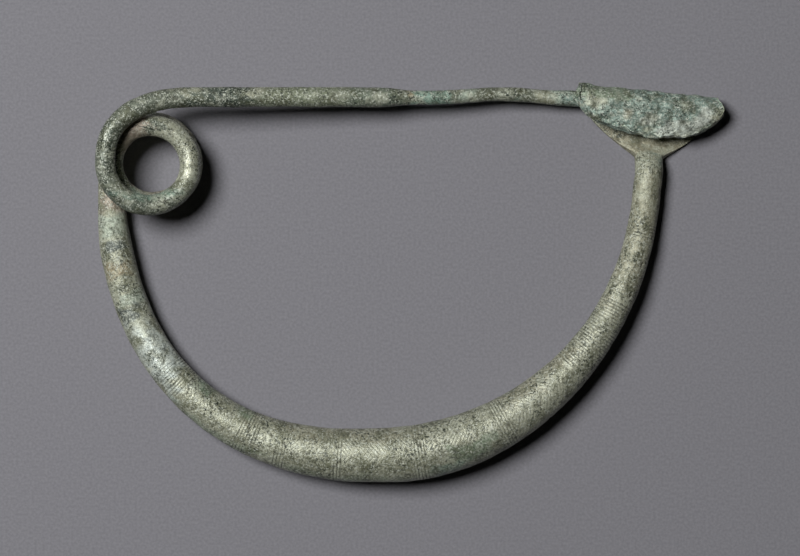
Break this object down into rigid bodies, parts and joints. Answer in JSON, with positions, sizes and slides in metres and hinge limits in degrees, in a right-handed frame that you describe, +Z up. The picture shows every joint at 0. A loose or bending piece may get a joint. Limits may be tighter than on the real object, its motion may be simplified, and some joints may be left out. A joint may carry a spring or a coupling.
{
  "type": "fibula brooch",
  "caption": "Ancient bronze safety-pin brooch: an arched bow that swells to a thick belly, a coiled spring, a straight pin and a folded sheet catch that holds its point.",
  "frame": {"origin": "middle of the bounding box in plan, at the level of the surface that the brooch lies on", "axes": "+X along the pin from the spring to the catch, +Y from the belly of the bow to the pin, +Z up from the surface it lies on"},
  "size_m": [0.118, 0.0752, 0.0139],
  "materials": {
    "bronze": "buried bronze, pale olive and green corrosion crust, satin where it is worn"
  },
  "bodies": {
    "root": {"fibula": "bronze"}
  },
  "joints": []
}
